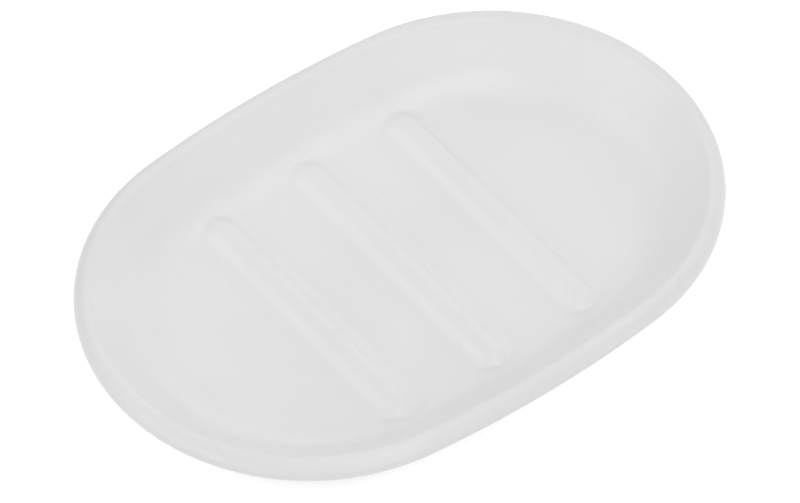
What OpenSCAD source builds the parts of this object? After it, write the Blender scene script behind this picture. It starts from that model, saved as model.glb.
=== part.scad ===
// Oval soap dish with a rolled rim, a sloping wall, three soap ribs and a recessed underside.
// Millimetres, real size. The origin is the middle of the footprint, on the surface it stands on.
// X runs along the long axis, Y across it, and Z points up.

/* [Outline] */
// Length of the dish over the rim
dish_length = 140; // [124:0.5:156]
// Width of the dish over the rim
dish_width = 96.5; // [86:0.5:106]
// How far the middle of each long side stands out beyond the radius of the rounded ends
side_swell = 1.25; // [0.75:0.25:3]

/* [Heights] */
// Depth of the floor below the top of the rim
floor_depth = 9.5; // [8.5:0.25:12]
// Thickness of the ceramic under the floor
floor_thickness = 4.5; // [3.5:0.25:6]
// Depth of the recess under the floor, inside the foot band
recess_height = 2; // [1.6:0.1:3]

/* [Rim and wall] */
// Radius of the outer rounding of the rim
rim_outer_radius = 2.4; // [2:0.1:3.4]
// Radius of the inner rounding of the rim
rim_inner_radius = 2; // [1:0.1:3]
// Width of the flat land on top of the rim
rim_land = 0.3; // [0.2:0.1:1.2]
// Slope of the inner wall, in degrees from level
inner_slope = 42; // [38:1:50]
// Slope of the outer wall, in degrees from level
outer_slope = 48; // [44:1:54]
// Radius of the hollow corner where the inner wall runs into the floor
cove_radius = 12; // [10:0.5:18]

/* [Foot] */
// Radius of the outer edge of the foot band
foot_edge_radius = 1.6; // [1:0.1:2]
// Width of the foot band that the pads sit in
foot_band = 11.5; // [9:0.5:14]
// Radius of the inner edge of the foot band
foot_inner_radius = 0.8; // [0.4:0.1:0.8]
// Radius of the corner at the top of the recess under the floor
recess_radius = 0.8; // [0.4:0.1:0.8]

/* [Soap ribs] */
// Distance from one rib to the next
rib_pitch = 23; // [20:0.5:25]
// Distance from the outline to the centre of the middle rib's round ends
rib_end_inset = 18.6; // [16:0.1:26]
// How much further from the outline the two outer ribs end
outer_rib_setback = 1; // [0:0.1:4]
// Radius of the rounded top of a rib
rib_radius = 5.5; // [4.5:0.1:7]
// Height of a rib above the floor
rib_height = 1.7; // [1.3:0.1:2.6]
// Radius of the hollow corner beside a rib
rib_cove_radius = 6; // [3:0.1:8]

/* [Foot pads] */
// Full thickness of a foot pad
pad_thickness = 2; // [1.6:0.1:2.4]
// Height that a foot pad stands out below the foot band
pad_drop = 1; // [0.8:0.1:1.4]
// Radius of the rounded lower edge of a foot pad
pad_edge_radius = 0.5; // [0.3:0.1:0.6]
// Width of flat band left on either side of a pad's pocket
pad_border = 0.8; // [0.4:0.1:1.6]
// Direction of the foot pads from the centre of the rounded end, in degrees off the long axis
pad_direction = 50; // [35:1:60]

/* [Fits] */
// Clearance all round a foot pad in its pocket
pad_clearance = 0.05; // [0.02:0.01:0.1]
// Depth that the ribs sink into the floor, so that they join it cleanly
rib_sink = 0.03; // [0.02:0.01:0.05]
// Depth of rib left inside the floor
rib_root = 1; // [0.5:0.1:1.5]

/* [Hidden] */
$fn = 180;

half_length = dish_length / 2;
half_width = dish_width / 2;

// The outline is four arcs that run into each other without a corner
end_radius = half_width - side_swell;
end_offset = half_length - end_radius;
side_offset = (end_offset * end_offset - side_swell * side_swell) / (2 * side_swell);
side_radius = side_offset + half_width;
joint_angle = atan2(end_offset, side_offset);
joint_x = end_offset + half_length * sin(joint_angle);
joint_y = half_length * cos(joint_angle);

// Levels, from the foot band up
foot_z = pad_drop;
underside_z = foot_z + recess_height;
floor_z = underside_z + floor_thickness;
rim_z = floor_z + floor_depth;

// Outer wall: it leaves the rim's outer rounding and runs into the foot's outer edge.
// Every value named depth is a distance inwards from the outline.
rim_outer_z = rim_z - rim_outer_radius;
outer_top_depth = rim_outer_radius * (1 - sin(outer_slope));
outer_top_z = rim_outer_z - rim_outer_radius * cos(outer_slope);
foot_edge_z = foot_z + foot_edge_radius;
outer_drop = outer_top_z + foot_edge_radius * cos(outer_slope) - foot_edge_z;
foot_edge_depth = outer_top_depth + outer_drop / tan(outer_slope)
    + foot_edge_radius * sin(outer_slope);
outer_low_depth = foot_edge_depth - foot_edge_radius * sin(outer_slope);
outer_low_z = foot_edge_z - foot_edge_radius * cos(outer_slope);

// Inner wall: it leaves the rim's inner rounding and runs into the hollow corner of the floor
rim_inner_depth = rim_outer_radius + rim_land;
rim_inner_z = rim_z - rim_inner_radius;
inner_top_depth = rim_inner_depth + rim_inner_radius * sin(inner_slope);
inner_top_z = rim_inner_z + rim_inner_radius * cos(inner_slope);
inner_low_z = floor_z + cove_radius * (1 - cos(inner_slope));
inner_low_depth = inner_top_depth + (inner_top_z - inner_low_z) / tan(inner_slope);
cove_depth = inner_low_depth + cove_radius * sin(inner_slope);
cove_z = floor_z + cove_radius;

// Foot band and the recess inside it
foot_inner_depth = foot_edge_depth + foot_band;
foot_round_depth = foot_inner_depth - foot_inner_radius;
foot_round_z = foot_z + foot_inner_radius;
recess_depth = foot_inner_depth + recess_radius;
recess_z = underside_z - recess_radius;

// Ribs
rib_centre_z = rib_height - rib_radius;
rib_cove_rise = rib_cove_radius - rib_centre_z;
rib_reach = rib_radius + rib_cove_radius;
rib_half_base = sqrt(rib_reach * rib_reach - rib_cove_rise * rib_cove_rise);
rib_touch_x = rib_half_base * rib_radius / rib_reach;
rib_touch_z = rib_centre_z + rib_cove_rise * rib_radius / rib_reach;
middle_rib_run = dish_width - 2 * rib_end_inset;
outer_rib_run = middle_rib_run - 2 * outer_rib_setback;

// Foot pads: each sits in the middle of the flat of the foot band
pad_inset = (foot_edge_depth + foot_round_depth) / 2;
pocket_radius = (foot_round_depth - foot_edge_depth) / 2 - pad_border;
pad_radius = pocket_radius - pad_clearance;
pad_ring = end_radius - pad_inset;
pad_x = end_offset + pad_ring * cos(pad_direction);
pad_y = pad_ring * sin(pad_direction);

// The dish cut through rim, wall, foot and floor, with X the distance inwards from the outline
module wall_section() {
    difference() {
        union() {
            polygon([
                [rim_outer_radius, rim_z],
                [outer_top_depth, outer_top_z],
                [outer_low_depth, outer_low_z],
                [foot_edge_depth, foot_z],
                [foot_round_depth, foot_z],
                [foot_inner_depth, foot_round_z],
                [foot_inner_depth, recess_z],
                [recess_depth, underside_z],
                [half_length, underside_z],
                [half_length, floor_z],
                [cove_depth, floor_z],
                [inner_low_depth, inner_low_z],
                [inner_top_depth, inner_top_z],
                [rim_inner_depth, rim_z]
            ]);
            translate([rim_outer_radius, rim_outer_z]) circle(r = rim_outer_radius);
            translate([rim_inner_depth, rim_inner_z]) circle(r = rim_inner_radius);
            translate([foot_edge_depth, foot_edge_z]) circle(r = foot_edge_radius);
            translate([foot_round_depth, foot_round_z]) circle(r = foot_inner_radius);
        }
        translate([cove_depth, cove_z]) circle(r = cove_radius);
        translate([recess_depth, recess_z]) circle(r = recess_radius);
    }
}

// The section carried all the way round a centre, with the outline at the given radius.
// Whatever of the floor would reach past the centre is cut off there.
module full_bend(radius) {
    rotate_extrude() intersection() {
        translate([radius, 0]) mirror([1, 0]) wall_section();
        square([2 * radius, 2 * rim_z]);
    }
}

// The dish at the +X end, out to where the end arc meets the side arcs
module end_bend() {
    intersection() {
        translate([end_offset, 0, 0]) rotate([0, 0, 180]) full_bend(end_radius);
        translate([0, 0, -rim_z]) linear_extrude(height = 3 * rim_z)
            polygon([
                [end_offset, 0],
                [joint_x, -joint_y],
                [dish_length, -joint_y],
                [dish_length, joint_y],
                [joint_x, joint_y]
            ]);
    }
}

// The dish at the +Y side, between the two ends
module side_bend() {
    intersection() {
        translate([0, -side_offset, 0]) rotate([0, 0, -90]) full_bend(side_radius);
        translate([0, 0, -rim_z]) linear_extrude(height = 3 * rim_z)
            polygon([
                [-end_offset, 0],
                [end_offset, 0],
                [joint_x, joint_y],
                [-joint_x, joint_y]
            ]);
    }
}

// A rib cut across, with its foot at the level of the floor
module rib_section() {
    difference() {
        union() {
            intersection() {
                translate([0, rib_centre_z]) circle(r = rib_radius);
                translate([-rib_half_base, -rib_root])
                    square([2 * rib_half_base, rib_root + rib_height + rib_radius]);
            }
            polygon([
                [-rib_half_base, -rib_root],
                [rib_half_base, -rib_root],
                [rib_half_base, 0],
                [rib_touch_x, rib_touch_z],
                [-rib_touch_x, rib_touch_z],
                [-rib_half_base, 0]
            ]);
        }
        translate([rib_half_base, rib_cove_radius]) circle(r = rib_cove_radius);
        translate([-rib_half_base, rib_cove_radius]) circle(r = rib_cove_radius);
    }
}

// A rib lying along Y, with domed ends whose centres lie the given run apart
module soap_rib(run) {
    translate([0, run / 2, 0]) rotate([90, 0, 0]) linear_extrude(height = run) rib_section();
    for (turn = [0, 180])
        rotate([0, 0, turn]) translate([0, run / 2, 0]) rotate_extrude(angle = 180)
            intersection() {
                rib_section();
                translate([0, -rib_root])
                    square([rib_half_base, rib_root + rib_height + rib_radius]);
            }
}

// The glazed ceramic body in one piece
module dish() {
    color("whitesmoke") difference() {
        union() {
            end_bend();
            rotate([0, 0, 180]) end_bend();
            side_bend();
            rotate([0, 0, 180]) side_bend();
            translate([0, 0, floor_z - rib_sink]) {
                translate([-rib_pitch, 0, 0]) soap_rib(outer_rib_run);
                soap_rib(middle_rib_run);
                translate([rib_pitch, 0, 0]) soap_rib(outer_rib_run);
            }
        }
        for (side = [-1, 1])
            for (back = [-1, 1])
                translate([side * pad_x, back * pad_y, 0])
                    cylinder(r = pocket_radius, h = pad_thickness);
    }
}

// A soft round pad with a rounded lower edge
module foot_pad() {
    color("gainsboro") rotate_extrude() {
        translate([0, pad_edge_radius]) square([pad_radius, pad_thickness - pad_edge_radius]);
        square([pad_radius - pad_edge_radius, pad_thickness]);
        intersection() {
            translate([pad_radius - pad_edge_radius, pad_edge_radius]) circle(r = pad_edge_radius);
            square([pad_radius, pad_thickness]);
        }
    }
}

module foot_pad_front_left() {
    translate([-pad_x, -pad_y, 0]) foot_pad();
}

module foot_pad_front_right() {
    translate([pad_x, -pad_y, 0]) foot_pad();
}

module foot_pad_back_left() {
    translate([-pad_x, pad_y, 0]) foot_pad();
}

module foot_pad_back_right() {
    translate([pad_x, pad_y, 0]) foot_pad();
}

dish();
foot_pad_front_left();
foot_pad_front_right();
foot_pad_back_left();
foot_pad_back_right();
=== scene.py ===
"""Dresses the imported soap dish: a glazed ceramic skin in place of the plain body, soft pads in place of the
plain ones, and a white light tent seen from the photograph's side."""

import bmesh
import bpy
import numpy as np
from mathutils import Matrix, Vector


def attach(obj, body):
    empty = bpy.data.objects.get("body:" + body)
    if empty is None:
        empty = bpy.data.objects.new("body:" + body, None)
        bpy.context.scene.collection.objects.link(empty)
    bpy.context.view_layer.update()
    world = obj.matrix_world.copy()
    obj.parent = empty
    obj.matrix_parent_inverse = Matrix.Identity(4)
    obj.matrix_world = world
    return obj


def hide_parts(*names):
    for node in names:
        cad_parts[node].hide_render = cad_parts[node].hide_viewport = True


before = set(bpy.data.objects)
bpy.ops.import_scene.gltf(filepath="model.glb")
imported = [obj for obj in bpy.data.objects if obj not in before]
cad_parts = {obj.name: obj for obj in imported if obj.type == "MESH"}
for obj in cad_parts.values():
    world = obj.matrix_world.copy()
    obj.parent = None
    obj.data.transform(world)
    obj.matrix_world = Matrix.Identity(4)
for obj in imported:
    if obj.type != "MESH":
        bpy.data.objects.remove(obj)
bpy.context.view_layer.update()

MM = 0.001

# Sizes of the dish in millimetres and its slopes, the same as its solids have
HALF_LENGTH = 70.0
HALF_WIDTH = 48.25
END_RADIUS = 47.0
RIM_Z = 17.0
FLOOR_Z = 7.5
UNDERSIDE_Z = 3.0
FOOT_Z = 1.0
RIM_OUTER = 2.4
RIM_INNER = 2.0
RIM_LAND = 0.3
INNER_SLOPE = np.radians(42.0)
OUTER_SLOPE = np.radians(48.0)
COVE = 12.0
FOOT_EDGE = 1.6
FOOT_BAND = 11.5
FOOT_INNER = 0.8
RECESS = 0.8
RIB_X = (-23.0, 0.0, 23.0)
RIB_RUN = (57.3, 59.3, 57.3)
RIB_RADIUS = 5.5
RIB_HEIGHT = 1.7
RIB_COVE = 6.0
RIB_SINK = 0.03
PAD_RADIUS = 4.5
PAD_THICKNESS = 2.0
PAD_EDGE = 0.5
PAD_CLEARANCE = 0.05
PAD_TURN = np.radians(50.0)

# Centres and radii of the four arcs of the outline
END_OFFSET = HALF_LENGTH - END_RADIUS
BULGE = HALF_WIDTH - END_RADIUS
SIDE_OFFSET = (END_OFFSET**2 - BULGE**2) / (2 * BULGE)
SIDE_RADIUS = SIDE_OFFSET + HALF_WIDTH

# Points of the section, as distance inwards from the outline and height
RIM_OUTER_Z = RIM_Z - RIM_OUTER
OUTER_TOP = np.array([
    RIM_OUTER * (1 - np.sin(OUTER_SLOPE)),
    RIM_OUTER_Z - RIM_OUTER * np.cos(OUTER_SLOPE),
])
FOOT_EDGE_Z = FOOT_Z + FOOT_EDGE
FOOT_EDGE_IN = (
    OUTER_TOP[0]
    + (OUTER_TOP[1] + FOOT_EDGE * np.cos(OUTER_SLOPE) - FOOT_EDGE_Z) / np.tan(OUTER_SLOPE)
    + FOOT_EDGE * np.sin(OUTER_SLOPE)
)
RIM_INNER_IN = RIM_OUTER + RIM_LAND
INNER_TOP = np.array([
    RIM_INNER_IN + RIM_INNER * np.sin(INNER_SLOPE),
    RIM_Z - RIM_INNER + RIM_INNER * np.cos(INNER_SLOPE),
])
INNER_LOW_Z = FLOOR_Z + COVE * (1 - np.cos(INNER_SLOPE))
INNER_LOW_IN = INNER_TOP[0] + (INNER_TOP[1] - INNER_LOW_Z) / np.tan(INNER_SLOPE)
COVE_IN = INNER_LOW_IN + COVE * np.sin(INNER_SLOPE)
FOOT_INNER_IN = FOOT_EDGE_IN + FOOT_BAND
PAD_CIRCLE = END_RADIUS - (FOOT_EDGE_IN + FOOT_INNER_IN - FOOT_INNER) / 2

# Rib section: height of its circle's centre, half its width, and where its top meets the hollow corner
RIB_CENTRE_Z = RIB_HEIGHT - RIB_RADIUS
RIB_BASE = np.sqrt((RIB_RADIUS + RIB_COVE) ** 2 - (RIB_COVE - RIB_CENTRE_Z) ** 2)
RIB_TOUCH = RIB_BASE * RIB_RADIUS / (RIB_RADIUS + RIB_COVE)

# Columns and rows of the dish's grid. The end columns are given in millimetres beyond the outer ribs. The wall
# rows take up a share of the way from the wall to the middle line, and the middle rows the rest, a little
# closer together towards that line.
RIB_TOP_COLUMNS = 15
RIB_FOOT_COLUMNS = 12
GAP_COLUMNS = 9
END_COLUMNS = np.array([0.8, 1.8])
FAN_COLUMNS = 76
WALL_ROWS = 34
WALL_SHARE = 0.27
MIDDLE_ROWS = 16
MIDDLE_CROWDING = 0.85
UNDERSIDE_ROWS = 9

# Columns round a pad and a pocket, rows from the edge of a pad's face to its middle, and the angle from which
# an edge is shaded as a sharp one
LATHE_COLUMNS = 72
FACE_ROWS = 30
SHARP_ANGLE = np.radians(50)

# Where a rib's end meets the hollow corner, glaze fills the crease with a fillet that grows with the height
# above the floor, this many times as fast, between the least and the largest fillet in millimetres. The hollow
# corner's circle is followed this far from its foot, to just short of where it stands upright.
CREASE_GROWTH = 1.6
LEAST_FILLET = 1e-6
CREASE_FILL = 0.55
COVE_REACH = 0.98 * COVE

# How much of the hollow shade colour the glaze takes in the hollow corner by the wall, beside the ribs and in
# the
# pockets at their front ends: painted shade, darker where shade falls in these hollows
SHADE_BY_WALL = 0.22
SHADE_BY_RIB = 0.16
SHADE_IN_POCKET = 0.75

# Where the painted shade lies, in millimetres: how wide the band by the wall is and how far outside the floor's
# edge its middle lies, how wide the band beside a rib is, and how far its middle lies inside the rib's foot
WALL_SHADE_WIDTH = 5.0
RIB_SHADE_WIDTH = 1.8
RIB_SHADE_IN = 0.8

# The painted shade in a pocket is darkest where the hollow corner is as high as the rib. In millimetres: how
# much higher and how much lower than the rib it still reaches, how far out from the floor's edge it is at full
# strength, how wide it fades out beside the rib, and how far below the floor still counts as the bowl.
POCKET_ABOVE_RIB = 1.1
POCKET_BELOW_RIB = 0.2
POCKET_START = 2.5
POCKET_FADE = 2.0
BELOW_FLOOR = 0.5

# How much of the edge shade colour, painted shade that darkens the lit rim and rib crests, it takes on the rim's
# inner shoulder and on the crests of the ribs. The rim's outer shoulder takes all of it. The shoulders are given
# in degrees round the rim's outer roll, from the outermost point up and over. A crest's width is in millimetres,
# and it starts at this share of a rib's height.
OUTER_SHOULDER_LEAN = 62.0
OUTER_SHOULDER_WIDTH = 26.0
INNER_SHOULDER_LEAN = 112.0
INNER_SHOULDER_WIDTH = 16.0
SHADE_ON_INNER = 0.5
SHADE_ON_CREST = 0.08
CREST_WIDTH = 1.3
CREST_SHARE = 0.6

# The pad's bevel and the low end of its side, and the hollow and the ring moulded in its face, in millimetres
PAD_BEVEL = 0.08
PAD_SIDE_LOW = 1.2
FACE_HOLLOW = 0.16
FACE_HOLLOW_RADIUS = 3.6
FACE_RING = 0.14
FACE_RING_RADIUS = 2.4
FACE_RING_WIDTH = 0.2

# A pocket's cutter reaches this far below the standing face, and points closer than this after the cuts are
# joined, both in millimetres
CUTTER_BELOW = 1.0
CLOSE_POINTS = 0.005

# Colours of the finishes
GLAZE = (0.80, 0.80, 0.80)
GLAZE_HOLLOW_SHADE = (0.74, 0.74, 0.74)
# Painted shade: a darker glaze in the hollows by the wall, beside the ribs and in the pockets at their front
# ends
GLAZE_EDGE_SHADE = (0.755, 0.755, 0.755)
# Painted shade: a darker glaze on the rim's shoulders and the ribs' crests, damping the light that falls on them
SPECK = (0.5, 0.48, 0.45)
BARE_CERAMIC = (0.72, 0.70, 0.665)
PAD_GREY = (0.55, 0.56, 0.57)
SHEET_WHITE = (0.92, 0.92, 0.92)
PLAIN_WHITE = (1.0, 1.0, 1.0)

# Strength of the patches, the grain and the specks on each finish
GLAZE_MARKS = (0.012, 0.004, 0.12)
CERAMIC_MARKS = (0.03, 0.035, 0.0)
PAD_MARKS = (0.06, 0.03, 0.0)

# Roughness of the bare ceramic, and how much of the grain goes into its bump
BARE_ROUGHNESS = 0.85
BARE_GRAIN = 2.5

# The part of its range that a noise fills, the height in metres at which the glaze ends, and how far that
# line wanders
NOISE_SPAN = (0.3, 0.7)
GLAZE_LINE = (0.00128, 0.00136)
LINE_WANDER = 0.00018

# The tent's light on surfaces and as it is seen, and the floor's glow where it is seen
TENT_LIGHT = 0.3
TENT_SEEN = 1.0
FLOOR_GLOW = 0.5
FLOOR_REACH = 3000.0

# Soft boxes round the tent: how far each is turned from the front towards the right, and how high it stands,
# both in degrees, and its watts
BOXES = {
    "front_box": (0, 20, 7.3),
    "right_box": (90, 20, 4.8),
    "back_right_box": (135, 20, 4.2),
    "left_box": (270, 20, 6.5),
    "window_box": (225, 45, 7.7),
    "high_front_box": (0, 70, 10.2),
    "high_right_box": (90, 70, 4.9),
}
BOX_SIZE = 1.2
BOX_DISTANCE = 2.0
BOX_AIM = Vector((0, 0, 0.01))

# The camera looks from the front left corner, fifty degrees above the table, from two and a half metres, and
# sees the middle of the rim at this pixel of the picture
AZIMUTH = np.radians(-37.7)
ELEVATION = np.radians(49.56)
DISTANCE = 2.5
PIXELS_PER_MM = 5.006
RIM_CENTRE_PIXEL = (400.9, 242.1)
PICTURE = (800, 503)
SENSOR_WIDTH = 36.0


def outline(inset, x=None, turn=None, end=1.0):
    """Points and outward directions on the oval that lies inset inwards from the rim's outline. With x they
    lie on its +Y side at that x, on the side arc while the line from the side centre passes between the end
    centres and on the end arc after it. With turn they lie at that angle round one end's centre."""
    if turn is not None:
        out = np.stack([end * np.cos(turn), np.sin(turn)], -1)
        centre = np.array([end * END_OFFSET, 0.0])
        return centre + (END_RADIUS - inset) * out, out
    side = SIDE_RADIUS - inset
    on_side = np.stack([x, np.sqrt(side**2 - x**2) - SIDE_OFFSET], -1)
    side_out = (on_side + np.array([0.0, SIDE_OFFSET])) / side
    reach = np.clip(np.abs(x) - END_OFFSET, 0.0, END_RADIUS - inset)
    on_end = np.stack([x, np.sqrt((END_RADIUS - inset) ** 2 - reach**2)], -1)
    end_out = np.stack([np.sign(x) * reach, on_end[:, 1]], -1) / (END_RADIUS - inset)
    beyond = (np.abs(side_out[:, 0]) > END_OFFSET / np.hypot(END_OFFSET, SIDE_OFFSET))[:, None]
    return np.where(beyond, on_end, on_side), np.where(beyond, end_out, side_out)


def inset_of(points):
    """Distance inwards from the outline at points of the plan: radius of the arc whose sector holds the
    point, less the distance to that arc's centre."""
    x, y = np.abs(points[..., 0]), np.abs(points[..., 1])
    from_end = END_RADIUS - np.hypot(x - END_OFFSET, y)
    from_side = SIDE_RADIUS - np.hypot(x, y + SIDE_OFFSET)
    return np.where(x * SIDE_OFFSET > END_OFFSET * (y + SIDE_OFFSET), from_end, from_side)


def corner_rise(inset):
    """How far a point lies past the foot of the hollow corner towards the wall, and the height of the
    corner's circle there: its radius less the other side of the right triangle."""
    to_wall = np.clip(COVE_IN - inset, 0.0, COVE_REACH)
    return to_wall, COVE - np.sqrt(COVE**2 - to_wall**2)


def rib_rise(away):
    """Height of a rib at a distance from its spine: a circle's top, then a hollow corner that runs into the
    floor, then nothing."""
    top = RIB_CENTRE_Z + np.sqrt(np.clip(RIB_RADIUS**2 - away**2, 0.0, None))
    to_rib = np.clip(RIB_BASE - away, 0.0, None)
    foot = RIB_COVE - np.sqrt(np.clip(RIB_COVE**2 - to_rib**2, 0.0, None))
    return np.where(away < RIB_TOUCH, top, np.where(away < RIB_BASE, foot, 0.0))


def spine_distances(points):
    """Distance in the plan from points to the spine of each rib, which is a straight run along Y."""
    distances = []
    for x, run in zip(RIB_X, RIB_RUN):
        past = np.clip(np.abs(points[..., 1]) - run / 2, 0.0, None)
        distances.append(np.hypot(points[..., 0] - x, past))
    return distances


def smooth_higher(first, second, fillet):
    """The higher of two heights, with the crease between them filled by a quarter of the fillet where they
    meet, and by less to either side until they differ by the fillet."""
    overlap = np.clip(1.0 - np.abs(first - second) / fillet, 0.0, None)
    return np.maximum(first, second) + fillet * overlap**2 / 4


def bowl_height(points):
    """Height of the bowl's bottom: the floor, then whichever is higher of the hollow corner's circle near the
    wall and the ribs. Glaze fills the creases where a rib leaves the floor and where its ends run into the
    hollow corner."""
    _, corner = corner_rise(inset_of(points))
    rib = np.max([rib_rise(away) for away in spine_distances(points)], axis=0)
    rib = smooth_higher(rib - RIB_SINK, 0.0, RIB_SINK)
    fillet = np.clip(CREASE_GROWTH * np.minimum(corner, rib), LEAST_FILLET, CREASE_FILL)
    return FLOOR_Z + smooth_higher(corner, rib, fillet)


def arc(centre, radius, start, stop, count):
    """Points on a circle of the section from one angle to another, both in degrees, ends included."""
    turn = np.radians(np.linspace(start, stop, count))
    return np.stack([centre[0] + radius * np.cos(turn), centre[1] + radius * np.sin(turn)], -1)


def line(start, stop, count):
    """Evenly spaced points of the section between two corners, both left out."""
    share = np.linspace(0, 1, count + 2)[1:-1, None]
    return np.asarray(start) * (1 - share) + np.asarray(stop) * share


def shell_section():
    """The section from just above the foot of the inner wall over the rim, down the outer wall, under the
    foot band and up into the recess: arcs at every corner and straight runs between them."""
    slope_in, slope_out = np.degrees(INNER_SLOPE), np.degrees(OUTER_SLOPE)
    rim_in = arc((RIM_INNER_IN, RIM_Z - RIM_INNER), RIM_INNER, 90 - slope_in, 90, count=14)
    rim_out = arc((RIM_OUTER, RIM_OUTER_Z), RIM_OUTER, 90, 270 - slope_out, count=22)
    foot_out = arc((FOOT_EDGE_IN, FOOT_EDGE_Z), FOOT_EDGE, 270 - slope_out, 270, count=8)
    foot_in = arc((FOOT_INNER_IN - FOOT_INNER, FOOT_Z + FOOT_INNER), FOOT_INNER, 270, 360, count=7)
    recess = arc((FOOT_INNER_IN + RECESS, UNDERSIDE_Z - RECESS), RECESS, 180, 90, count=7)
    return np.concatenate([
        line((INNER_LOW_IN, INNER_LOW_Z), rim_in[0], count=9), rim_in,
        rim_out,
        line(rim_out[-1], foot_out[0], count=10), foot_out,
        line(foot_out[-1], foot_in[0], count=5), foot_in,
        line(foot_in[-1], recess[0], count=1), recess,
    ])


def column_places():
    """X of the columns that cross the ribs: at equal angles on the circle of a rib's top and on the circles
    of the hollow corners beside it, and wider apart on the floor between the ribs."""
    steepest = np.arcsin(RIB_TOUCH / RIB_RADIUS)
    top = RIB_RADIUS * np.sin(np.linspace(0, steepest, RIB_TOP_COLUMNS))
    foot = RIB_BASE - RIB_COVE * np.sin(np.linspace(steepest, 0, RIB_FOOT_COLUMNS))
    half = np.concatenate([top, foot[1:]])
    rib = np.concatenate([-half[:0:-1], half])
    gap = np.linspace(RIB_X[1] + rib[-1], RIB_X[2] + rib[0], GAP_COLUMNS)[1:-1]
    end = RIB_X[2] + rib[-1] + END_COLUMNS
    return np.concatenate([-end[::-1], RIB_X[0] + rib, -gap[::-1], rib, gap, RIB_X[2] + rib, end])


def weld_mesh(name, points, faces, attributes=None):
    """A mesh from points in millimetres and triangles: points that share a place are joined, and triangles
    that have shrunk to a line are left out."""
    _, first, where = np.unique(np.round(points, 5), axis=0, return_index=True, return_inverse=True)
    faces = where.reshape(-1)[faces]
    a, b, c = faces.T
    faces = faces[(a != b) & (b != c) & (c != a)]
    mesh = bpy.data.meshes.new(name)
    mesh.vertices.add(len(first))
    mesh.vertices.foreach_set("co", (points[first] * MM).astype(np.float32).ravel())
    mesh.loops.add(faces.size)
    mesh.loops.foreach_set("vertex_index", faces.astype(np.int32).ravel())
    mesh.polygons.add(len(faces))
    mesh.polygons.foreach_set("loop_start", np.arange(0, faces.size, 3, dtype=np.int32))
    mesh.polygons.foreach_set("use_smooth", np.ones(len(faces), bool))
    for label, values in (attributes or {}).items():
        made = mesh.attributes.new(label, "FLOAT", "POINT")
        made.data.foreach_set("value", values[first].astype(np.float32))
    mesh.update(calc_edges=True)
    mesh.validate()
    piece = bpy.data.objects.new(name, mesh)
    bpy.context.scene.collection.objects.link(piece)
    return piece


def grid_faces(rows, columns):
    """Two triangles for each cell of a grid of rows by columns, whose last column meets the first."""
    across = np.arange(columns)
    down = np.arange(rows - 1)[:, None]
    a = down * columns + across
    b = down * columns + (across + 1) % columns
    c, d = a + columns, b + columns
    return np.concatenate([np.stack([a, c, b], -1).reshape(-1, 3), np.stack([b, c, d], -1).reshape(-1, 3)])


def dish_surface():
    """The whole ceramic skin as one closed grid. Columns run round the outline, straight across the ribs and
    in a fan at each end. Rows run from the middle line of the bowl out to the wall, over the rim, down the
    outside, under the foot and back to the middle line of the underside. In the bowl a point lies a share of
    the way from the wall to the middle line, at the bowl's height there. On the wall it lies at the section's
    distance inwards and height."""
    x = column_places()
    fan = np.linspace(0, 1, FAN_COLUMNS)[1:-1]
    ring, out = outline(INNER_LOW_IN, x=x)
    end_turn = np.arctan2(ring[-1, 1], ring[-1, 0] - END_OFFSET)
    turn = end_turn * (1 - 2 * fan)
    right = outline(INNER_LOW_IN, turn=turn, end=1.0)
    left = outline(INNER_LOW_IN, turn=-turn, end=-1.0)
    flip = np.array([1.0, -1.0])
    back = slice(None, None, -1)
    ring = np.concatenate([ring, right[0], ring[back] * flip, left[0]])
    out = np.concatenate([out, right[1], out[back] * flip, left[1]])
    middle = np.concatenate([x, np.full(len(fan), x[-1]), x[back], np.full(len(fan), x[0])])
    middle = np.stack([middle, np.zeros_like(middle)], -1)

    near = np.linspace(0, WALL_SHARE, WALL_ROWS)
    far = WALL_SHARE + (1 - WALL_SHARE) * np.linspace(0, 1, MIDDLE_ROWS)[1:] ** MIDDLE_CROWDING
    share = np.concatenate([near, far])[::-1][:, None, None]
    plan = ring * (1 - share) + middle * share
    bowl = np.concatenate([plan, bowl_height(plan)[..., None]], -1)

    inwards, height = shell_section().T[:, :, None, None]
    plan = ring + out * (INNER_LOW_IN - inwards)
    wall = np.concatenate([plan, np.broadcast_to(height, plan[..., :1].shape)], -1)

    share = np.linspace(0, 1, UNDERSIDE_ROWS)[1:, None, None]
    plan = wall[-1, :, :2] * (1 - share) + middle * share
    below = np.concatenate([plan, np.full(plan[..., :1].shape, UNDERSIDE_Z)], -1)

    points = np.concatenate([bowl, wall, below])
    faces = grid_faces(*points.shape[:2])[:, ::-1]
    points = points.reshape(-1, 3)
    return points, faces, painted_shade_masks(points)


def bell(distance, width):
    """1 at no distance and less to both sides: e to the power of minus the square of distance over width."""
    return np.exp(-((distance / width) ** 2))


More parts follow.
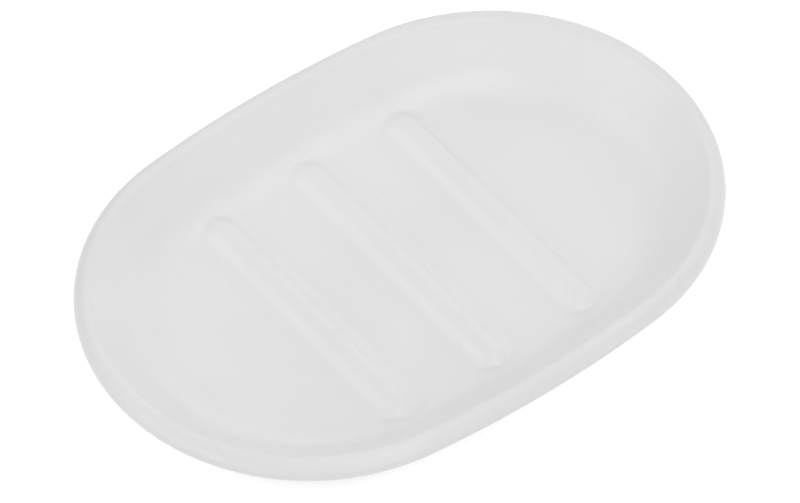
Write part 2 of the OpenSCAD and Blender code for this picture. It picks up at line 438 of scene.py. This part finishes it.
def painted_shade_masks(points):
    """Painted shade in the glaze's colour. The hollow shade rises a little along the hollow corners beside the
    wall and the ribs, and more in the pockets beyond the front ends of the ribs. The edge shade is 1 on the
    outer shoulder of the rim, half that on its inner shoulder and a little above 0 on the crests of the ribs,
    darkening these lit tops."""
    inset, z = inset_of(points), points[:, 2]
    inside = (z > FLOOR_Z - BELOW_FLOOR) & (inset > RIM_INNER_IN)
    away = np.min(spine_distances(points), axis=0)
    by_wall = bell(inset - COVE_IN + WALL_SHADE_WIDTH, WALL_SHADE_WIDTH)
    by_rib = bell(away - RIB_BASE + RIB_SHADE_IN, RIB_SHADE_WIDTH)
    to_wall, corner = corner_rise(inset)
    over_rib = corner - rib_rise(away)
    pocket = bell(over_rib, np.where(over_rib > 0, POCKET_ABOVE_RIB, POCKET_BELOW_RIB))
    pocket *= np.clip(to_wall / POCKET_START, 0.0, 1.0)
    pocket *= np.clip((RIB_BASE + POCKET_FADE / 2 - away) / POCKET_FADE, 0.0, 1.0)
    pocket *= points[:, 1] < 0
    hollow_shade = np.max([SHADE_BY_WALL * by_wall, SHADE_BY_RIB * by_rib, SHADE_IN_POCKET * pocket], axis=0)
    lean = np.degrees(np.arctan2(z - RIM_OUTER_Z, RIM_OUTER - inset))
    shoulders = np.maximum(
        bell(lean - OUTER_SHOULDER_LEAN, OUTER_SHOULDER_WIDTH),
        SHADE_ON_INNER * bell(lean - INNER_SHOULDER_LEAN, INNER_SHOULDER_WIDTH),
    )
    crest = SHADE_ON_CREST * bell(away, CREST_WIDTH) * (z > FLOOR_Z + CREST_SHARE * RIB_HEIGHT)
    edge_shade = np.maximum(np.where(z > RIM_OUTER_Z, shoulders, 0.0), np.where(inside, crest, 0.0))
    return {"hollow_shade": np.where(inside, hollow_shade, 0.0), "edge_shade": edge_shade}


def lathe(section, centre):
    """A section of radius and height turned once round an upright axis through centre."""
    turn = np.linspace(0, 2 * np.pi, LATHE_COLUMNS, endpoint=False)
    x = centre[0] + section[:, :1] * np.cos(turn)
    y = centre[1] + section[:, :1] * np.sin(turn)
    z = np.broadcast_to(section[:, 1:], x.shape)
    return np.stack([x, y, z], -1).reshape(-1, 3), grid_faces(len(section), LATHE_COLUMNS)


def pad_section():
    """A pad from the middle of its top over the bevelled upper edge, down its side, round the lower edge and
    in under its face. The face is hollowed by 1 less the square of the radius over the hollow's radius, and
    has a low ring moulded in it, a bell of the distance from the ring's circle."""
    bevel_in, bevel_low = PAD_RADIUS - PAD_BEVEL, PAD_THICKNESS - PAD_BEVEL
    top = np.array([[0, PAD_THICKNESS], [PAD_RADIUS / 2, PAD_THICKNESS], [bevel_in, PAD_THICKNESS]])
    wall = np.array([[PAD_RADIUS, bevel_low], [PAD_RADIUS, PAD_SIDE_LOW]])
    edge = arc((PAD_RADIUS - PAD_EDGE, PAD_EDGE), PAD_EDGE, 0, -90, count=9)
    radius = np.linspace(PAD_RADIUS - PAD_EDGE, 0, FACE_ROWS)[1:]
    hollow = FACE_HOLLOW * np.clip(1 - (radius / FACE_HOLLOW_RADIUS) ** 2, 0, None)
    hollow += FACE_RING * bell(radius - FACE_RING_RADIUS, FACE_RING_WIDTH)
    return np.concatenate([top, wall, edge, np.stack([radius, hollow], -1)])


def pad_places():
    """The middle of each pad by name, on a circle round the centre of each end's arc."""
    along = END_OFFSET + PAD_CIRCLE * np.cos(PAD_TURN)
    across = PAD_CIRCLE * np.sin(PAD_TURN)
    return {
        f"{face}_{side}": (x_sign * along, y_sign * across)
        for side, x_sign in (("left", -1), ("right", 1))
        for face, y_sign in (("front", -1), ("back", 1))
    }


def cut_pocket(dish, label, centre):
    """Cuts the pocket that a pad sits in out of the foot band."""
    radius = PAD_RADIUS + PAD_CLEARANCE
    pocket = np.array([[0, PAD_THICKNESS], [radius, PAD_THICKNESS], [radius, -CUTTER_BELOW], [0, -CUTTER_BELOW]])
    cutter = weld_mesh("pocket_" + label, *lathe(pocket, centre))
    cut = dish.modifiers.new("pocket", "BOOLEAN")
    cut.operation = "DIFFERENCE"
    cut.solver = "EXACT"
    cut.object = cutter
    bpy.context.view_layer.update()
    done = bpy.data.meshes.new_from_object(dish.evaluated_get(bpy.context.evaluated_depsgraph_get()))
    dish.modifiers.clear()
    dish.data = done
    bpy.data.objects.remove(cutter)


def join_close_points(dish):
    """The cuts leave a few points almost on one another, which would open the skin when it is cut into
    triangles, so these are joined."""
    joined = bmesh.new()
    joined.from_mesh(dish.data)
    bmesh.ops.remove_doubles(joined, verts=joined.verts, dist=CLOSE_POINTS * MM)
    joined.to_mesh(dish.data)
    joined.free()


def feed(tree, socket, value):
    """Links a socket to another node's result, or gives it a plain number or colour."""
    if isinstance(value, bpy.types.NodeSocket):
        tree.links.new(value, socket)
    else:
        socket.default_value = value


def maths(tree, operation, first, second):
    """The result of a Math node on two sockets or numbers."""
    made = tree.nodes.new("ShaderNodeMath")
    made.operation = operation
    feed(tree, made.inputs[0], first)
    feed(tree, made.inputs[1], second)
    return made.outputs[0]


def mixed(tree, kind, first, second, factor):
    """The result of a Mix node: the first value where the factor is 0 and the second where it is 1."""
    made = tree.nodes.new("ShaderNodeMix")
    made.data_type = kind
    for label, value in (("A", first), ("B", second), ("Factor", factor)):
        feed(tree, made.inputs[label], (*value, 1.0) if isinstance(value, tuple) else value)
    return made.outputs["Result"]


def noise(tree, vector, scale, detail, roughness=0.5):
    """A noise on the given coordinates. Scale is in patches to the metre."""
    made = tree.nodes.new("ShaderNodeTexNoise")
    made.inputs["Scale"].default_value = scale
    made.inputs["Detail"].default_value = detail
    made.inputs["Roughness"].default_value = roughness
    tree.links.new(vector, made.inputs["Vector"])
    return made.outputs["Fac"]


def ranged(tree, value, span, to):
    """The value carried smoothly from one range to another."""
    made = tree.nodes.new("ShaderNodeMapRange")
    made.interpolation_type = "SMOOTHSTEP"
    for label, number in zip(("From Min", "From Max", "To Min", "To Max"), (*span, *to)):
        made.inputs[label].default_value = number
    tree.links.new(value, made.inputs["Value"])
    return made.outputs["Result"]


def scaled_colour(tree, colour, tone):
    """A colour multiplied by a tone that varies over the surface."""
    made = tree.nodes.new("ShaderNodeVectorMath")
    made.operation = "SCALE"
    feed(tree, made.inputs[0], colour)
    tree.links.new(tone, made.inputs["Scale"])
    return made.outputs["Vector"]


def attribute(tree, label):
    """The piece's own mask of that name."""
    made = tree.nodes.new("ShaderNodeAttribute")
    made.attribute_name = label
    return made.outputs["Fac"]


def add_bump(tree, shader, height, strength, distance):
    """Gives the shader a bump of that height. Distance is in metres."""
    bump = tree.nodes.new("ShaderNodeBump")
    bump.inputs["Strength"].default_value = strength
    bump.inputs["Distance"].default_value = distance
    tree.links.new(height, bump.inputs["Height"])
    tree.links.new(bump.outputs["Normal"], shader.inputs["Normal"])


def mottle_group():
    """Cloudy patches, fine grain and rare specks, as every fired or moulded surface here has them. Tone is 1
    plus the patches and the grain."""
    group = bpy.data.node_groups.new("surface_mottle", "ShaderNodeTree")
    group.interface.new_socket("Vector", in_out="INPUT", socket_type="NodeSocketVector")
    for label, amount in (("Cloud", 0.02), ("Grain", 0.01), ("Speck", 0.0)):
        made = group.interface.new_socket(label, in_out="INPUT", socket_type="NodeSocketFloat")
        made.default_value = amount
    for label in ("Tone", "Grain", "Speck"):
        group.interface.new_socket(label, in_out="OUTPUT", socket_type="NodeSocketFloat")
    source, sink = group.nodes.new("NodeGroupInput"), group.nodes.new("NodeGroupOutput")

    vector = source.outputs["Vector"]
    cloud = ranged(group, noise(group, vector, scale=42, detail=3), NOISE_SPAN, to=(-1, 1))
    grain = noise(group, vector, scale=1500, detail=2, roughness=0.6)
    fine = ranged(group, grain, NOISE_SPAN, to=(-1, 1))
    dots = group.nodes.new("ShaderNodeTexVoronoi")
    dots.inputs["Scale"].default_value = 260
    group.links.new(vector, dots.inputs["Vector"])
    spot = ranged(group, dots.outputs["Distance"], span=(0.05, 0.09), to=(1, 0))
    tone = maths(group, "ADD", maths(group, "MULTIPLY", cloud, source.outputs["Cloud"]), 1.0)
    tone = maths(group, "ADD", maths(group, "MULTIPLY", fine, source.outputs["Grain"]), tone)
    group.links.new(tone, sink.inputs["Tone"])
    group.links.new(grain, sink.inputs["Grain"])
    group.links.new(maths(group, "MULTIPLY", spot, source.outputs["Speck"]), sink.inputs["Speck"])
    return group


def mottled(tree, mottle, vector, marks):
    """The mottle group placed in a material with the strength of its patches, grain and specks."""
    made = tree.nodes.new("ShaderNodeGroup")
    made.node_tree = mottle
    for label, amount in zip(("Cloud", "Grain", "Speck"), marks):
        made.inputs[label].default_value = amount
    tree.links.new(vector, made.inputs["Vector"])
    return made.outputs


def new_material(name, roughness, ior=1.5):
    """A material with its Principled shader and Object coordinates. Where the roughness varies, the number
    given here is about its middle."""
    material = bpy.data.materials.new(name)
    material.use_nodes = True
    tree = material.node_tree
    shader = next(n for n in tree.nodes if n.type == "BSDF_PRINCIPLED")
    shader.inputs["Roughness"].default_value = roughness
    shader.inputs["IOR"].default_value = ior
    place = tree.nodes.new("ShaderNodeTexCoord").outputs["Object"]
    return material, tree, shader, place


def glaze_material(mottle):
    """White satin glaze, darker in the hollows and on the rim's shoulders and the ribs' crests as painted shade,
    with the bare ceramic of the foot band showing below a slightly wandering glaze line."""
    material, tree, shader, place = new_material("white_glaze", roughness=0.4)
    marks = mottled(tree, mottle, place, GLAZE_MARKS)
    bisque = mottled(tree, mottle, place, CERAMIC_MARKS)
    # Painted shade: the hollow shade and the edge shade darken the white glaze
    white = mixed(tree, "RGBA", GLAZE, GLAZE_HOLLOW_SHADE, attribute(tree, "hollow_shade"))
    white = mixed(tree, "RGBA", white, GLAZE_EDGE_SHADE, attribute(tree, "edge_shade"))
    white = scaled_colour(tree, white, marks["Tone"])

    split = tree.nodes.new("ShaderNodeSeparateXYZ")
    tree.links.new(place, split.inputs[0])
    drift = noise(tree, place, scale=120, detail=3)
    wander = ranged(tree, drift, NOISE_SPAN, to=(-LINE_WANDER, LINE_WANDER))
    height = maths(tree, "ADD", split.outputs["Z"], wander)
    bare = ranged(tree, height, GLAZE_LINE, to=(1, 0))
    body = scaled_colour(tree, BARE_CERAMIC, bisque["Tone"])
    whole = mixed(tree, "RGBA", white, body, bare)
    rare = ranged(tree, noise(tree, place, scale=95, detail=0), span=(0.62, 0.7), to=(0, 1))
    sparse = maths(tree, "MULTIPLY", marks["Speck"], rare)
    tree.links.new(mixed(tree, "RGBA", whole, SPECK, sparse), shader.inputs["Base Color"])

    satin = ranged(tree, noise(tree, place, scale=60, detail=4), NOISE_SPAN, to=(0.36, 0.44))
    tree.links.new(mixed(tree, "FLOAT", satin, BARE_ROUGHNESS, bare), shader.inputs["Roughness"])
    peel = noise(tree, place, scale=320, detail=2)
    coarse = maths(tree, "MULTIPLY", marks["Grain"], BARE_GRAIN)
    add_bump(tree, shader, mixed(tree, "FLOAT", peel, coarse, bare), strength=0.12, distance=0.0002)
    return material


def pad_material(mottle):
    """Soft grey silicone, matt and a little dusty, with a fine moulded grain."""
    material, tree, shader, place = new_material("soft_pad", roughness=0.62, ior=1.41)
    marks = mottled(tree, mottle, place, PAD_MARKS)
    tree.links.new(scaled_colour(tree, PAD_GREY, marks["Tone"]), shader.inputs["Base Color"])
    dust = ranged(tree, noise(tree, place, scale=400, detail=3), span=(0.35, 0.65), to=(0.55, 0.72))
    tree.links.new(dust, shader.inputs["Roughness"])
    add_bump(tree, shader, marks["Grain"], strength=0.2, distance=0.0001)
    return material


def seen_directly(tree):
    """1 for rays that come from the camera or from a gloss or see-through surface, 0 for the rest."""
    rays = tree.nodes.new("ShaderNodeLightPath").outputs
    seen = maths(tree, "MAXIMUM", rays["Is Camera Ray"], rays["Is Glossy Ray"])
    return maths(tree, "MAXIMUM", seen, rays["Is Transmission Ray"])


def stage_floor():
    """A wide white sheet under the dish, a flat square in two triangles. Where it is seen it glows a little,
    so that it reaches white away from the dish and keeps the soft shadow under it."""
    corners = FLOOR_REACH * np.array([[-1, -1, 0], [1, -1, 0], [1, 1, 0], [-1, 1, 0]])
    floor = weld_mesh("floor", corners, np.array([[0, 1, 2], [0, 2, 3]]))
    material, tree, shader, _ = new_material("white_sheet", roughness=0.9)
    shader.inputs["Base Color"].default_value = (*SHEET_WHITE, 1)
    shader.inputs["Specular IOR Level"].default_value = 0.0
    shader.inputs["Emission Color"].default_value = (*PLAIN_WHITE, 1)
    glow = maths(tree, "MULTIPLY", seen_directly(tree), FLOOR_GLOW)
    tree.links.new(glow, shader.inputs["Emission Strength"])
    floor.data.materials.append(material)


def light_tent():
    """The white world round the dish: weak as light on a surface, full white where it is seen."""
    world = bpy.data.worlds.new("light_tent")
    bpy.context.scene.world = world
    world.use_nodes = True
    tree = world.node_tree
    glow = next(n for n in tree.nodes if n.type == "BACKGROUND")
    glow.inputs["Color"].default_value = (*PLAIN_WHITE, 1)
    level = mixed(tree, "FLOAT", TENT_LIGHT, TENT_SEEN, seen_directly(tree))
    tree.links.new(level, glow.inputs["Strength"])


def soft_box(name, turn, height, power):
    """A square soft box at that turn and height on a sphere round the bowl, facing the bowl."""
    lamp = bpy.data.lights.new(name, "AREA")
    lamp.shape = "SQUARE"
    lamp.size = BOX_SIZE
    lamp.energy = power
    made = bpy.data.objects.new(name, lamp)
    way = Vector((np.sin(turn) * np.cos(height), -np.cos(turn) * np.cos(height), np.sin(height)))
    made.location = way * BOX_DISTANCE
    made.rotation_euler = (BOX_AIM - way * BOX_DISTANCE).to_track_quat("-Z", "Y").to_euler()
    bpy.context.scene.collection.objects.link(made)


def place_camera():
    """The camera at its turn and height round the middle of the rim's widest level, moved sideways and up so
    that this point falls on its pixel, with the lens that gives the picture its scale there."""
    cos_up = np.cos(ELEVATION)
    back = Vector((np.sin(AZIMUTH) * cos_up, -np.cos(AZIMUTH) * cos_up, np.sin(ELEVATION)))
    right = Vector((np.cos(AZIMUTH), np.sin(AZIMUTH), 0))
    up = back.cross(right)
    aim = Vector((0, 0, RIM_OUTER_Z * MM))
    aim += right * (PICTURE[0] / 2 - RIM_CENTRE_PIXEL[0]) / PIXELS_PER_MM * MM
    aim -= up * (PICTURE[1] / 2 - RIM_CENTRE_PIXEL[1]) / PIXELS_PER_MM * MM
    lens = bpy.data.cameras.new("view")
    lens.sensor_fit = "HORIZONTAL"
    lens.sensor_width = SENSOR_WIDTH
    lens.lens = SENSOR_WIDTH * PIXELS_PER_MM / MM * DISTANCE / PICTURE[0]
    lens.clip_end = 20.0
    camera = bpy.data.objects.new("view", lens)
    turned = Matrix((right, up, back)).transposed().to_4x4()
    turned.translation = aim + back * DISTANCE
    camera.matrix_world = turned
    bpy.context.scene.collection.objects.link(camera)
    bpy.context.scene.camera = camera


mottle = mottle_group()
glaze = glaze_material(mottle)
silicone = pad_material(mottle)

places = pad_places()
dish = weld_mesh("dish_skin", *dish_surface())
for label, centre in places.items():
    cut_pocket(dish, label, centre)
join_close_points(dish)
dish.data.name = "dish_skin"
dish.data.set_sharp_from_angle(angle=SHARP_ANGLE)
dish.data.materials.clear()
dish.data.materials.append(glaze)
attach(dish, "root")
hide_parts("dish")

for label, centre in places.items():
    pad = weld_mesh("pad_" + label, *lathe(pad_section(), centre))
    pad.data.set_sharp_from_angle(angle=SHARP_ANGLE)
    pad.data.materials.append(silicone)
    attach(pad, "root")
    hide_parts("foot_pad_" + label)

stage_floor()
light_tent()
for name, (turn, height, power) in BOXES.items():
    soft_box(name, np.radians(turn), np.radians(height), power)
place_camera()
bpy.context.scene.view_settings.view_transform = "Standard"
